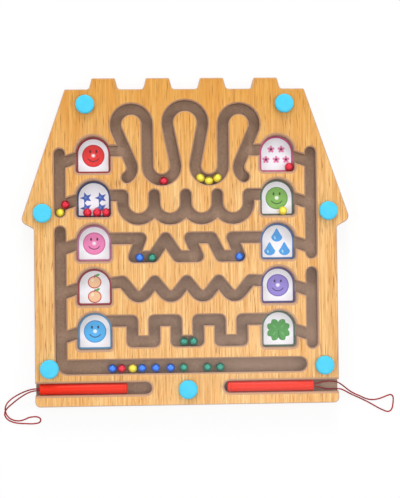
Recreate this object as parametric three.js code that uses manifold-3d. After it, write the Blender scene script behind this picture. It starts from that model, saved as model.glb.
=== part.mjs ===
// A magnetic maze board: a castle-shaped wooden board with routed lanes, wells and wand slots, a clear
// riveted cover, loose steel balls, and two magnet wands on cord loops.
// Millimetres. The board lies on its back, +Z up, +Y towards the battlements, its middle over the origin.
import * as THREE from "three";
import { mergeVertices } from "three/addons/utils/BufferGeometryUtils.js";
import Module from "manifold-3d";

const wasm = await Module();
wasm.setup();

// Board outline, measured from the board's middle
const boardHalfHeight = 151;
const wallHalfWidth = 140;
const wallCornerRadius = 4.5;
const eaveCornerX = 152.3;
const eaveCornerY = 19.2;
const eaveRadius = 6;
const eaveInnerY = 12.4;
const eaveInnerRadius = 2;
const roofTopHalfWidth = 110.7;
const roofCornerRadius = 1.5;

// Battlements along the roof
const merlonCentres = [75, 25, -25, -75];
const merlonHeight = 10.2;
const merlonTopHalfWidth = 10.7;
const merlonBaseHalfWidth = 13.4;
const merlonTopRadius = 1.2;
const merlonBaseRadius = 3;

// Board, cover and clearances
const boardThickness = 14;
const boardEdgeRound = 0.8;
const coverThickness = 2;
const coverInset = 0.6;
const layerGap = 0.1;
const seatGap = 0.3;

// Lanes
const laneWidth = 10;
const laneDepth = 10.5;
const laneRim = 1.2;
const trayWidth = 13;
const trayY = -115;
const trayEndX = 104;
const sideLaneX = 116;
const leftBendRadius = 7;

// Wells and the short branches that lead to them from the side lanes
const wellCentreX = 85.2;
const wellWidth = 31.8;
const wellHeight = 33.9;
const wellCornerRadius = 3;
const wellRim = 2.2;
const wellPitch = 40.7;
const topWellBottom = 63.7;
const wellRows = 5;
const branchSlope = 0.35;
const topBranchRise = 8.4;
const branchRise = 10.3;
const branchReach = 6;

// How far the side lanes run on above the first branch and below the last branch that they feed
const leftUpperLane = { above: 9.2, below: 5.4 };
const leftLowerLane = { above: 17.1 };
const rightUpperLane = { above: 9.3, below: 4.8 };
const rightLowerLane = { above: 17.7, below: 6.6 };

// Row 1, a wavy lane that runs over and under round turns
const rowOneLinkY = 83.8;
const hookTurn = { x: -59.6, y: 67.9, radius: 10.4 };
const hookStartAngle = -58;
const sideArch = { x: -49.7, y: 107.9, radius: 14.6 };
const valley = { x: -22, y: 69.5, radius: 13 };
const middleArch = { x: 0, y: 109.3, radius: 16.4 };

// Row 2, scallops between short posts
const scallopRadius = 14.55;
const scallopCentreY = 35;
const scallopCount = 4;
const postTopY = 43;
const rowTwoLinkY = 42.6;

// Row 3, a lane of slanted steps
const stepTopY = 2.8;
const stepBottomY = -14.3;
const stepCorners = [
  [-42, stepTopY],
  [-48.4, stepBottomY],
  [-30.7, stepBottomY],
  [-19, stepTopY],
  [-7.9, stepBottomY],
  [10.6, stepBottomY],
  [3.4, stepTopY],
  [23.3, stepTopY],
  [31.8, stepBottomY],
  [49.4, stepBottomY],
  [42.5, stepTopY],
];

// Row 4, a zigzag with sharp upper bends and round lower ones
const zigzagPitch = 29.5;
const zigzagPeaks = 5;
const zigzagTopY = -36.9;
const zigzagBottomY = -50.9;
const zigzagBendRadius = 7.5;
const zigzagLeftLinkDrop = 3.3;
const zigzagRightLinkDrop = 1.3;

// Row 5, a square wave
const meanderPitch = 20.25;
const meanderTurns = 6;
const meanderTopY = -73;
const meanderBottomY = -92.3;

// Rivets: a blue cap with a hollow shank in front, a pinned head behind
const rivetPlaces = [
  [-92, 126.6],
  [92, 126.6],
  [-131.8, 26.8],
  [131.8, 26.8],
  [-126.7, -116],
  [126.7, -116],
  [0, -136.5],
];
const capDiameter = 17.4;
const capHeight = 3;
const capRim = 0.6;
const capShoulder = { radius: 8.37, height: 1.8 };
const capCrown = { radius: 6.66, height: 2.7 };
const shankDiameter = 8;
const shankClearance = 0.3;
const shankEnd = 4;
const pinDiameter = 4;
const pinClearance = 0.2;
const pinLength = 9;
const backHeadDiameter = 14;
const backHeadThickness = 2;
const backHeadClearance = 0.5;
const backHeadSink = 0.2;

// Picture tiles
const tileThickness = 0.5;
const tileClearance = 0.3;

// Balls, with the clear gaps between neighbours where they lie in a row
const ballDiameter = 8;
const ballWallGap = 0.4;
const trayWallGap = 0.6;
const trayFirstX = -69.4;
const trayColours = ["blue", "red", "yellow", "blue", "blue", "blue", "green", "green", "green"];
const trayGaps = [0.5, 2.2, 0.7, 4.6, 5.6, 4.2, 14, 3.9];
const wellTwoRowGaps = [0.9, 0.35];
const valleyBallGap = 0.35;
const meanderBallX = -3.1;
const meanderBallGap = 0.8;
const stepBallX = -43.2;
const stepBallGap = 3.6;
const stepFarBallX = 49.4;
const junctionBallX = -111.2;
const leftLaneBallDrop = 0.6;
const wellSevenBallX = 90.4;
const leftValleyBallAngle = -82;
const rightValleyBallAngle = -91;

// Wands and their slots
const slotY = -135;
const slotWidth = 10.8;
const slotDepth = 10.6;
const slotRim = 2;
const wandDiameter = 10;
const wandLength = 80;
const wandEndRound = 0.6;
const tipRound = 1.6;
const tipThickness = 3;
const tipSpigotDiameter = 5.8;
const tipSpigotLength = 2;
const tipGap = 0.2;
const magnetDiameter = 6;
const magnetLength = 8;
const magnetClearance = 0.2;
const leftWandInset = 4;
const rightWandInset = 23.5;
const wandEndRoom = 3.1;
const slotInnerX = wallHalfWidth - rightWandInset - wandLength - wandEndRoom + slotWidth / 2;

// Cord loops, each a closed loop of thin cord with both ends in its wand
const cordDiameter = 1.3;
const cordStrandGap = 0.4;
const cordHoleClearance = 0.3;
const cordHoleDiameter = 2 * cordDiameter + cordStrandGap + 2 * cordHoleClearance;
const cordHoleDepth = 6.5;
const cordSides = 8;
const cordSteps = 58;
const leftCordRoute = [
  [-129.9, -134.15, 8.7],
  [-136.1, -134.15, 8.7],
  [-143, -134.7, 8.4],
  [-148.5, -136.2, 7],
  [-154, -138.5, 5.3],
  [-159.5, -141.5, 3.7],
  [-164.3, -145, 2.7],
  [-167.4, -148.6, 2.4],
  [-168.7, -152, 2.4],
  [-168.6, -155, 2.4],
  [-167.8, -157.8, 2],
  [-166.4, -160.2, 1.3],
  [-164.3, -162.2, 0.8],
  [-161, -163.7, 0.7],
  [-156, -164.3, 0.7],
  [-151, -163.1, 0.7],
  [-147.5, -161.6, 0.7],
  [-143.5, -160.9, 0.7],
  [-139.8, -161, 0.7],
  [-137.2, -162.2, 0.7],
  [-136.4, -164.2, 0.7],
  [-137.6, -166.1, 0.7],
  [-140.6, -167, 0.7],
  [-144.5, -167.3, 0.7],
  [-149, -167.1, 0.7],
  [-155.5, -166.7, 0.7],
  [-161.5, -165.6, 0.7],
  [-166.5, -163.1, 0.7],
  [-169.2, -159.4, 0.7],
  [-169.3, -156.6, 0.7],
  [-168.2, -154, 0.7],
  [-166.2, -151.6, 0.8],
  [-163, -148.9, 1.3],
  [-159, -145.6, 2.6],
  [-154, -142, 4.5],
  [-148.5, -138.7, 6.7],
  [-143, -136.6, 8.3],
  [-136.1, -135.85, 8.7],
  [-129.9, -135.85, 8.7],
];
const rightCordRoute = [
  [110.4, -134.15, 8.7],
  [116.5, -134.15, 8.7],
  [121.5, -133.2, 7.5],
  [127.5, -132.3, 4.9],
  [133.5, -132.1, 4.2],
  [139.5, -132.9, 4.2],
  [143.5, -135.2, 4],
  [147.5, -138.3, 2.6],
  [151.5, -141.4, 1.3],
  [156, -144.1, 0.7],
  [161.7, -146.7, 0.7],
  [167.5, -149.3, 0.7],
  [173.5, -150.3, 0.7],
  [179, -149.6, 0.7],
  [184.5, -147.8, 0.7],
  [188.2, -146.4, 0.7],
  [190.9, -146, 0.7],
  [192.7, -147.7, 0.7],
  [193, -150.6, 0.7],
  [192.6, -154.8, 0.7],
  [191.6, -158.9, 0.7],
  [189.6, -161.2, 0.7],
  [186.7, -161.5, 0.7],
  [183, -160.1, 0.7],
  [178.4, -157.8, 0.7],
  [173.6, -155, 0.7],
  [169, -152.4, 0.7],
  [164.5, -150.1, 0.7],
  [159.5, -147.7, 0.7],
  [154.5, -145.4, 0.7],
  [150.5, -143.3, 1.1],
  [146.5, -141.1, 2.6],
  [143, -139.6, 3.9],
  [139.5, -139.1, 4.2],
  [133.5, -139.2, 4.2],
  [127.5, -138.7, 4.8],
  [121.5, -137, 7.3],
  [116.5, -135.85, 8.7],
  [110.4, -135.85, 8.7],
];

// How finely curves are cut
const arcStepDegrees = 15;
const endStepDegrees = 22.5;
const cornerStepDegrees = 22.5;
const ballSides = 8;
const ballRings = 6;
const rivetSides = 16;
const wandSides = 16;

// Places worked out from the sizes above
const laneRadius = laneWidth / 2;
const laneFloor = boardThickness - laneDepth;
const slotFloor = boardThickness - slotDepth;
const tileTop = laneFloor + layerGap + tileThickness;
const coverBottom = boardThickness + layerGap;
const coverTop = coverBottom + coverThickness;
const capBottom = coverTop + layerGap;
const ballRadius = ballDiameter / 2;
const wandRadius = wandDiameter / 2;
const wandAxisZ = slotFloor + seatGap + wandRadius;
const shankHoleRadius = shankDiameter / 2 + shankClearance;
const cutAbove = 1;
const seamTolerance = 0.005;

const material = {
  veneer: () => new THREE.MeshStandardMaterial({ color: 0xe9b468, roughness: 0.55, metalness: 0 }),
  acrylic: () => new THREE.MeshStandardMaterial({
    color: 0xf3f8fa, roughness: 0.08, metalness: 0, transparent: true, opacity: 0.15,
  }),
  rivet: () => new THREE.MeshStandardMaterial({ color: 0x6fd0f2, roughness: 0.35, metalness: 0 }),
  card: () => new THREE.MeshStandardMaterial({ color: 0xf5f2ec, roughness: 0.6, metalness: 0 }),
  wand: () => new THREE.MeshStandardMaterial({ color: 0xf0483a, roughness: 0.4, metalness: 0 }),
  magnet: () => new THREE.MeshStandardMaterial({ color: 0x9a9da0, roughness: 0.35, metalness: 1 }),
  cord: () => new THREE.MeshStandardMaterial({ color: 0xe23b36, roughness: 0.85, metalness: 0 }),
  ball: (colour) => new THREE.MeshStandardMaterial({ color: colour, roughness: 0.25, metalness: 0.1 }),
};
const ballColours = { red: 0xe5352e, yellow: 0xffcf24, blue: 0x1f80c4, green: 0x35a853 };

// Small helpers

const degrees = THREE.MathUtils.degToRad;

function pointAt(centre, radius, angle) {
  return new THREE.Vector2(centre.x + radius * Math.cos(angle), centre.y + radius * Math.sin(angle));
}

// Points along an arc, both ends included.
function arcPoints(centre, radius, from, to, steps) {
  const points = [];
  for (let i = 0; i <= steps; i++) {
    points.push(pointAt(centre, radius, from + ((to - from) * i) / steps));
  }
  return points;
}

function mirrored(turn) {
  return { x: -turn.x, y: turn.y, radius: turn.radius };
}

function wellBottom(row) {
  return topWellBottom - row * wellPitch;
}

// Where a well's branch leaves its side lane.
function branchStart(row) {
  return wellBottom(row) + (row === 0 ? topBranchRise : branchRise);
}

function leftUpperLaneBottom() {
  return branchStart(1) - leftUpperLane.below;
}

function toSolid(geometry) {
  const bare = geometry.clone();
  bare.deleteAttribute("normal");
  bare.deleteAttribute("uv");
  const merged = mergeVertices(bare, 1e-4);
  return new wasm.Manifold(
    new wasm.Mesh({
      numProp: 3,
      vertProperties: new Float32Array(merged.attributes.position.array),
      triVerts: new Uint32Array(merged.index.array),
    }),
  );
}

// One solid from many, its flat faces no longer split along the old seams.
function joined(solids) {
  return solids.reduce((all, next) => all.add(next)).asOriginal().simplify(seamTolerance);
}

function toGeometry(solid) {
  const mesh = solid.getMesh();
  const geometry = new THREE.BufferGeometry();
  geometry.setAttribute("position", new THREE.BufferAttribute(mesh.vertProperties, 3));
  geometry.setIndex(new THREE.BufferAttribute(mesh.triVerts, 1));
  geometry.computeVertexNormals();
  return geometry;
}

// A closed solid through outlines that all have the same number of points, listed upwards.
function loft(layers) {
  const count = layers[0].outline.length;
  const positions = layers.flatMap(({ outline, z }) => outline.flatMap((p) => [p.x, p.y, z]));
  const faces = [];
  for (let layer = 0; layer + 1 < layers.length; layer++) {
    for (let i = 0; i < count; i++) {
      const a = layer * count + i;
      const b = layer * count + ((i + 1) % count);
      faces.push(a, b, b + count, a, b + count, a + count);
    }
  }
  for (const [a, b, c] of THREE.ShapeUtils.triangulateShape(layers[0].outline, [])) {
    faces.push(a, c, b);
  }
  const top = (layers.length - 1) * count;
  for (const [a, b, c] of THREE.ShapeUtils.triangulateShape(layers.at(-1).outline, [])) {
    faces.push(top + a, top + b, top + c);
  }
  const geometry = new THREE.BufferGeometry();
  geometry.setAttribute("position", new THREE.Float32BufferAttribute(positions, 3));
  geometry.setIndex(faces);
  geometry.computeVertexNormals();
  return geometry;
}

// An upright cylinder between two heights.
function uprightCylinder([x, y], radius, bottom, top, sides) {
  const geometry = new THREE.CylinderGeometry(radius, radius, top - bottom, sides);
  geometry.rotateX(Math.PI / 2);
  geometry.translate(x, y, (bottom + top) / 2);
  return geometry;
}

const group = new THREE.Group();

function addPiece(name, geometry, look) {
  const mesh = new THREE.Mesh(geometry, look);
  mesh.name = name;
  group.add(mesh);
}

// Outline of the board and cover

// Corners anticlockwise from the lower right, each with the radius of its rounding.
function boardCorners() {
  const roofTopY = boardHalfHeight - merlonHeight;
  const rightSide = [
    [wallHalfWidth, -boardHalfHeight, wallCornerRadius],
    [wallHalfWidth, eaveInnerY, eaveInnerRadius],
    [eaveCornerX, eaveCornerY, eaveRadius],
    [roofTopHalfWidth, roofTopY, roofCornerRadius],
  ];
  const merlons = merlonCentres.flatMap((centre) => [
    [centre + merlonBaseHalfWidth, roofTopY, merlonBaseRadius],
    [centre + merlonTopHalfWidth, boardHalfHeight, merlonTopRadius],
    [centre - merlonTopHalfWidth, boardHalfHeight, merlonTopRadius],
    [centre - merlonBaseHalfWidth, roofTopY, merlonBaseRadius],
  ]);
  const leftSide = rightSide.map(([x, y, radius]) => [-x, y, radius]).reverse();
  return [...rightSide, ...merlons, ...leftSide];
}

// The outline moved inwards by inset, with its corners rounded by arcs.
function boardOutline(inset) {
  const corners = boardCorners().map(([x, y, radius]) => ({ place: new THREE.Vector2(x, y), radius }));
  const count = corners.length;
  const outline = [];
  corners.forEach(({ place, radius }, i) => {
    const before = place.clone().sub(corners[(i + count - 1) % count].place).normalize();
    const after = corners[(i + 1) % count].place.clone().sub(place).normalize();
    const turn = Math.atan2(before.cross(after), before.dot(after));
    const inwardBefore = new THREE.Vector2(-before.y, before.x);
    const inwardAfter = new THREE.Vector2(-after.y, after.x);
    const bisector = inwardBefore.clone().add(inwardAfter).normalize();
    const reach = 1 / Math.cos(turn / 2);
    const side = Math.sign(turn);
    const centre = place.clone().addScaledVector(bisector, side * radius * reach);
    const arcRadius = radius - side * inset;
    const from = Math.atan2(-side * inwardBefore.y, -side * inwardBefore.x);
    const steps = Math.ceil(Math.abs(turn) / degrees(cornerStepDegrees));
    outline.push(...arcPoints(centre, arcRadius, from, from + turn, steps));
  });
  return outline;
}

// A plate of the board's outline with its top and bottom edges eased.
function outlinePlate(inset, bottom, top, edgeRound) {
  return loft([
    { outline: boardOutline(inset + edgeRound), z: bottom },
    { outline: boardOutline(inset), z: bottom + edgeRound },
    { outline: boardOutline(inset), z: top - edgeRound },
    { outline: boardOutline(inset + edgeRound), z: top },
  ]);
}

// Routed pockets

// Points along an anticlockwise arc, its two ends and the angles between them that are whole steps. Lanes
// that share a round end so share its points too.
function steppedArc(centre, radius, from, to, stepDegrees) {
  const step = degrees(stepDegrees);
  const least = step / 10;
  const angles = [from];
  for (let i = Math.ceil((from + least) / step); i * step < to - least; i++) {
    angles.push(i * step);
  }
  angles.push(to);
  return angles.map((angle) => pointAt(centre, radius, angle));
}

// A straight lane with round ends.
function lineOutline([ax, ay], [bx, by], radius) {
  const heading = Math.atan2(by - ay, bx - ax);
  const quarter = Math.PI / 2;
  return [
    ...steppedArc({ x: bx, y: by }, radius, heading - quarter, heading + quarter, endStepDegrees),
    ...steppedArc({ x: ax, y: ay }, radius, heading + quarter, heading + 3 * quarter, endStepDegrees),
  ];
}

// A curved lane with round ends, anticlockwise from one angle to the other.
function curveOutline(turn, from, to, radius) {
  const startPlace = pointAt(turn, turn.radius, from);
  const endPlace = pointAt(turn, turn.radius, to);
  const endRound = steppedArc(endPlace, radius, to, to + Math.PI, endStepDegrees);
  const startRound = steppedArc(startPlace, radius, from + Math.PI, from + 2 * Math.PI, endStepDegrees);
  return [
    ...steppedArc(turn, turn.radius + radius, from, to, arcStepDegrees),
    ...endRound.slice(1, -1),
    ...steppedArc(turn, turn.radius - radius, from, to, arcStepDegrees).reverse(),
    ...startRound.slice(1, -1),
  ];
}

// An arched well, flat at the bottom with rounded lower corners, grown outwards all round.
function archOutline(centreX, bottom, width, height, cornerRadius, grow) {
  const half = width / 2;
  const cornerSteps = Math.ceil(90 / cornerStepDegrees);
  const archSteps = Math.ceil(180 / arcStepDegrees);
  const cornerY = bottom + cornerRadius;
  const leftCorner = { x: centreX - half + cornerRadius, y: cornerY };
  const rightCorner = { x: centreX + half - cornerRadius, y: cornerY };
  const arch = { x: centreX, y: bottom + height - half };
  return [
    ...arcPoints(leftCorner, cornerRadius + grow, Math.PI, 1.5 * Math.PI, cornerSteps),
    ...arcPoints(rightCorner, cornerRadius + grow, 1.5 * Math.PI, 2 * Math.PI, cornerSteps),
    ...arcPoints(arch, half + grow, 0, Math.PI, archSteps),
  ];
}

// The solid that a router takes out: straight walls, then a rim that is rounded over in the given steps.
function pocket(outlineGrownBy, floor, rim, rimSteps) {
  const layers = [{ outline: outlineGrownBy(0), z: floor }];
  for (let i = 0; i <= rimSteps; i++) {
    const angle = (Math.PI / 2) * (i / rimSteps);
    const grow = rim * (1 - Math.cos(angle));
    layers.push({ outline: outlineGrownBy(grow), z: boardThickness - rim * (1 - Math.sin(angle)) });
  }
  layers.push({ outline: outlineGrownBy(rim), z: boardThickness + cutAbove });
  return toSolid(loft(layers));
}

function lineLane(from, to, radius = laneRadius) {
  return pocket((grow) => lineOutline(from, to, radius + grow), laneFloor, laneRim, 1);
}

function curveLane(turn, from, to) {
  return pocket((grow) => curveOutline(turn, from, to, laneRadius + grow), laneFloor, laneRim, 1);
}

function chainOfLanes(corners) {
  return corners.slice(1).map((corner, i) => lineLane(corners[i], corner));
}

// Row 1: lanes that run like a belt round a list of turns, anticlockwise and clockwise by turns.
function beltLanes(turns, startAngle) {
  const lanes = [];
  let arriveAngle = startAngle;
  turns.forEach((turn, i) => {
    const spin = i % 2 === 0 ? 1 : -1;
    const next = turns[i + 1];
    let leaveAngle = Math.PI - startAngle;
    if (next) {
      const across = new THREE.Vector2(next.x - turn.x, next.y - turn.y);
      const sideways = -spin * (next.radius + turn.radius);
      const along = Math.sqrt(across.lengthSq() - sideways * sideways);
      const heading = across.angle() - Math.atan2(sideways, along);
      leaveAngle = heading - (spin * Math.PI) / 2;
      const leave = pointAt(turn, turn.radius, leaveAngle);
      const arrive = pointAt(next, next.radius, leaveAngle + Math.PI);
      lanes.push(lineLane(leave.toArray(), arrive.toArray()));
    }
    const swing = THREE.MathUtils.euclideanModulo(spin * (leaveAngle - arriveAngle), 2 * Math.PI);
    const from = spin > 0 ? arriveAngle : arriveAngle - swing;
    lanes.push(curveLane(turn, from, from + swing));
    arriveAngle = leaveAngle + Math.PI;
  });
  return lanes;
}

function rowOneLanes() {
  const turns = [
    hookTurn,
    sideArch,
    valley,
    middleArch,
    mirrored(valley),
    mirrored(sideArch),
    mirrored(hookTurn),
  ];
  const legX = sideArch.x - sideArch.radius + laneRadius;
  return [
    ...beltLanes(turns, degrees(hookStartAngle)),
    lineLane([-wellCentreX, rowOneLinkY], [legX, rowOneLinkY]),
    lineLane([wellCentreX, rowOneLinkY], [-legX, rowOneLinkY]),
  ];
}

function rowTwoLanes() {
  const lanes = [];
  const firstPostX = -scallopCount * scallopRadius;
  const lastPostX = -firstPostX;
  for (let post = 0; post <= scallopCount; post++) {
    const x = firstPostX + 2 * scallopRadius * post;
    const top = post === 0 || post === scallopCount ? rowTwoLinkY : postTopY;
    lanes.push(lineLane([x, scallopCentreY], [x, top]));
  }
  for (let scallop = 0; scallop < scallopCount; scallop++) {
    const x = firstPostX + scallopRadius * (2 * scallop + 1);
    const turn = { x, y: scallopCentreY, radius: scallopRadius };
    lanes.push(curveLane(turn, Math.PI, 2 * Math.PI));
  }
  lanes.push(lineLane([-wellCentreX, rowTwoLinkY], [firstPostX, rowTwoLinkY]));
  lanes.push(lineLane([wellCentreX, rowTwoLinkY], [lastPostX, rowTwoLinkY]));
  return lanes;
}

function rowThreeLanes() {
  return chainOfLanes([[-wellCentreX, stepTopY], ...stepCorners, [wellCentreX, stepTopY]]);
}

function rowFourLanes() {
  const firstX = (-zigzagPitch * (zigzagPeaks - 1)) / 2;
  const lanes = [
    lineLane([-wellCentreX, zigzagTopY - zigzagLeftLinkDrop], [firstX, zigzagTopY]),
    lineLane([wellCentreX, zigzagTopY - zigzagRightLinkDrop], [-firstX, zigzagTopY]),
  ];
  for (let valley = 0; valley + 1 < zigzagPeaks; valley++) {
    const x = firstX + valley * zigzagPitch;
    const turn = { x: x + zigzagPitch / 2, y: zigzagBottomY + zigzagBendRadius, radius: zigzagBendRadius };
    const toPeak = new THREE.Vector2(x - turn.x, zigzagTopY - turn.y);
    const arrive = toPeak.angle() + Math.acos(turn.radius / toPeak.length());
    const leave = 3 * Math.PI - arrive;
    lanes.push(
      lineLane([x, zigzagTopY], pointAt(turn, turn.radius, arrive).toArray()),
      curveLane(turn, arrive, leave),
      lineLane(pointAt(turn, turn.radius, leave).toArray(), [x + zigzagPitch, zigzagTopY]),
    );
  }
  return lanes;
}

function rowFiveLanes() {
  const firstX = (-meanderPitch * (meanderTurns - 1)) / 2;
  const corners = [[-wellCentreX, meanderTopY]];
  for (let turn = 0; turn < meanderTurns; turn++) {
    const x = firstX + turn * meanderPitch;
    const down = turn % 2 === 0;
    corners.push([x, down ? meanderTopY : meanderBottomY]);
    corners.push([x, down ? meanderBottomY : meanderTopY]);
  }
  corners.push([wellCentreX, meanderTopY]);
  return chainOfLanes(corners);
}

// The side lanes, the ball tray along the bottom and the branches into the wells.
function sideLanes() {
  const bend = {
    x: -sideLaneX + leftBendRadius,
    y: trayY - trayWidth / 2 + leftBendRadius + laneRadius,
    radius: leftBendRadius,
  };
  const lanes = [
    lineLane([-sideLaneX, branchStart(0) + leftUpperLane.above], [-sideLaneX, leftUpperLaneBottom()]),
    lineLane([-sideLaneX, branchStart(2) + leftLowerLane.above], [-sideLaneX, bend.y]),
    curveLane(bend, Math.PI, 1.5 * Math.PI),
    lineLane([bend.x, trayY], [trayEndX, trayY], trayWidth / 2),
    lineLane(
      [sideLaneX, branchStart(0) + rightUpperLane.above],
      [sideLaneX, branchStart(2) - rightUpperLane.below],
    ),
    lineLane(
      [sideLaneX, branchStart(3) + rightLowerLane.above],
      [sideLaneX, branchStart(4) - rightLowerLane.below],
    ),
  ];
  const branchEndX = wellCentreX + wellWidth / 2 - branchReach;
  for (let row = 0; row < wellRows; row++) {
    const startY = branchStart(row);
    const endY = startY + branchSlope * (sideLaneX - branchEndX);
    lanes.push(lineLane([-sideLaneX, startY], [-branchEndX, endY]));
    lanes.push(lineLane([sideLaneX, startY], [branchEndX, endY]));
  }
  return lanes;
}

function wells() {
  const pockets = [];
  for (const side of [-1, 1]) {
    for (let row = 0; row < wellRows; row++) {
      const outline = (grow) =>
        archOutline(side * wellCentreX, wellBottom(row), wellWidth, wellHeight, wellCornerRadius, grow);
      pockets.push(pocket(outline, laneFloor, wellRim, 2));
    }
  }
  return pockets;
}

// A slot that runs out through the board's side wall.
function wandSlot(side) {
  const inner = [side * slotInnerX, slotY];
  const outer = [side * (wallHalfWidth + slotWidth), slotY];
  return pocket((grow) => lineOutline(inner, outer, slotWidth / 2 + grow), slotFloor, slotRim, 2);
}

function rivetHoles() {
  const counterboreRadius = backHeadDiameter / 2 + backHeadClearance;
  const counterboreDepth = backHeadSink + backHeadThickness + layerGap;
  return rivetPlaces.flatMap((place) => [
    toSolid(uprightCylinder(place, shankHoleRadius, -cutAbove, coverTop + cutAbove, rivetSides)),
    toSolid(uprightCylinder(place, counterboreRadius, -cutAbove, counterboreDepth, rivetSides)),
  ]);
}

function addMazeBoard() {
  const blank = toSolid(outlinePlate(0, 0, boardThickness, boardEdgeRound));
  const pockets = [
    ...rowOneLanes(),
    ...rowTwoLanes(),
    ...rowThreeLanes(),
    ...rowFourLanes(),
    ...rowFiveLanes(),
    ...sideLanes(),
    ...wells(),
    wandSlot(-1),
    wandSlot(1),
    ...rivetHoles(),
  ];
  const routed = joined(pockets);
  addPiece("maze_board", toGeometry(blank.subtract(routed)), material.veneer());
}

function addClearCover() {
  const sheet = toSolid(
    loft([
      { outline: boardOutline(coverInset), z: coverBottom },
      { outline: boardOutline(coverInset), z: coverTop },
    ]),
  );
  const holeBottom = coverBottom - cutAbove;
  const holeTop = coverTop + cutAbove;
  const holes = rivetPlaces
    .map((place) => uprightCylinder(place, shankHoleRadius, holeBottom, holeTop, rivetSides))
    .map(toSolid);
  addPiece("clear_cover", toGeometry(sheet.subtract(joined(holes))), material.acrylic());
}

// Turns a profile of radius and height pairs about an upright axis.
function turned(profile, sides) {
  const points = profile.map(([radius, height]) => new THREE.Vector2(radius, height));
  return new THREE.LatheGeometry(points, sides);
}

function addRivets() {
  const capRadius = capDiameter / 2;
  const shankRadius = shankDiameter / 2;
  const boreRadius = pinDiameter / 2 + pinClearance;
  const headTop = backHeadSink + backHeadThickness;
  const boreTop = headTop + pinLength + seatGap;
  const capProfile = [
    [0, boreTop],
    [boreRadius, boreTop],
    [boreRadius, shankEnd],
    [shankRadius, shankEnd],
    [shankRadius, capBottom],
    [capRadius, capBottom],
    [capRadius, capBottom + capRim],
    [capShoulder.radius, capBottom + capShoulder.height],
    [capCrown.radius, capBottom + capCrown.height],
    [0, capBottom + capHeight],
  ];
  const backProfile = [
    [0, backHeadSink],
    [backHeadDiameter / 2, backHeadSink],
    [backHeadDiameter / 2, headTop],
    [pinDiameter / 2, headTop],
    [pinDiameter / 2, headTop + pinLength],
    [0, headTop + pinLength],
  ];
  rivetPlaces.forEach(([x, y], i) => {
    const cap = turned(capProfile, rivetSides).rotateX(Math.PI / 2).translate(x, y, 0);
    const back = turned(backProfile, rivetSides).rotateX(Math.PI / 2).translate(x, y, 0);
    addPiece(`rivet_cap_${i + 1}`, cap, material.rivet());
    addPiece(`rivet_back_${i + 1}`, back, material.rivet());
  });
}

function addPictureTiles() {
  let number = 1;
  for (const side of [-1, 1]) {
    for (let row = 0; row < wellRows; row++) {
      const outline = archOutline(
        side * wellCentreX, wellBottom(row), wellWidth, wellHeight, wellCornerRadius, -tileClearance,
      );
      const tile = loft([
        { outline, z: laneFloor + layerGap },
        { outline, z: tileTop },
      ]);
      addPiece(`picture_tile_${number}`, tile, material.card());
      number += 1;
    }
  }
}

// Balls

const ballCounts = { red: 0, yellow: 0, blue: 0, green: 0 };

function addBall(colour, x, y, floor) {
  ballCounts[colour] += 1;
  const ball = new THREE.SphereGeometry(ballRadius, ballSides, ballRings);
  ball.translate(x, y, floor + seatGap + ballRadius);
  addPiece(`${colour}_ball_${ballCounts[colour]}`, ball, material.ball(ballColours[colour]));
}

// A ball against the outer wall of a valley, at an angle about the valley's centre.
function addValleyBall(colour, turn, angle) {
  const place = pointAt(turn, turn.radius + laneRadius - ballRadius - ballWallGap, angle);
  addBall(colour, place.x, place.y, laneFloor);
}

function addBalls() {
  const leftLaneY = leftUpperLaneBottom() - leftLaneBallDrop;
  addBall("yellow", -sideLaneX, leftLaneY, laneFloor);
  const junctionY = branchStart(1) + branchSlope * (sideLaneX + junctionBallX);
  addBall("red", junctionBallX, junctionY, laneFloor);

  const wellTwoY = wellBottom(1) + ballWallGap + ballRadius;
  let x = -wellCentreX + wellWidth / 2 - ballWallGap - ballRadius;
  addBall("red", x, wellTwoY, tileTop);
  for (const gap of [...wellTwoRowGaps].reverse()) {
    x -= ballDiameter + gap;
    addBall("red", x, wellTwoY, tileTop);
  }
  const wellSixX = wellCentreX + wellWidth / 2 - ballWallGap - ballRadius;
  addBall("red", wellSixX, wellBottom(0) + ballWallGap + ballRadius, tileTop);
  addBall("yellow", wellSevenBallX, wellBottom(1) + ballWallGap + ballRadius, tileTop);

  addValleyBall("red", valley, degrees(leftValleyBallAngle));
  const rollRadius = valley.radius + laneRadius - ballRadius - ballWallGap;
  const valleyStep = 2 * Math.asin((ballDiameter + valleyBallGap) / 2 / rollRadius);
  for (const place of [-1, 0, 1]) {
    addValleyBall("yellow", mirrored(valley), degrees(rightValleyBallAngle) + place * valleyStep);
  }

  const stepBallY = stepBottomY - laneRadius + ballWallGap + ballRadius;
  addBall("blue", stepBallX, stepBallY, laneFloor);
  addBall("green", stepBallX + ballDiameter + stepBallGap, stepBallY, laneFloor);
  addBall("blue", stepFarBallX, stepBallY, laneFloor);

  const meanderBallY = meanderBottomY - laneRadius + ballWallGap + ballRadius;
  addBall("green", meanderBallX, meanderBallY, laneFloor);
  addBall("green", meanderBallX + ballDiameter + meanderBallGap, meanderBallY, laneFloor);

  const trayBallY = trayY - trayWidth / 2 + trayWallGap + ballRadius;
  let trayX = trayFirstX;
  trayColours.forEach((colour, i) => {
    addBall(colour, trayX, trayBallY, laneFloor);
    trayX += ballDiameter + (trayGaps[i] ?? 0);
  });
}

// Wands, built upright with the cord end at the bottom, then laid along the slot with the tip inwards

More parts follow.
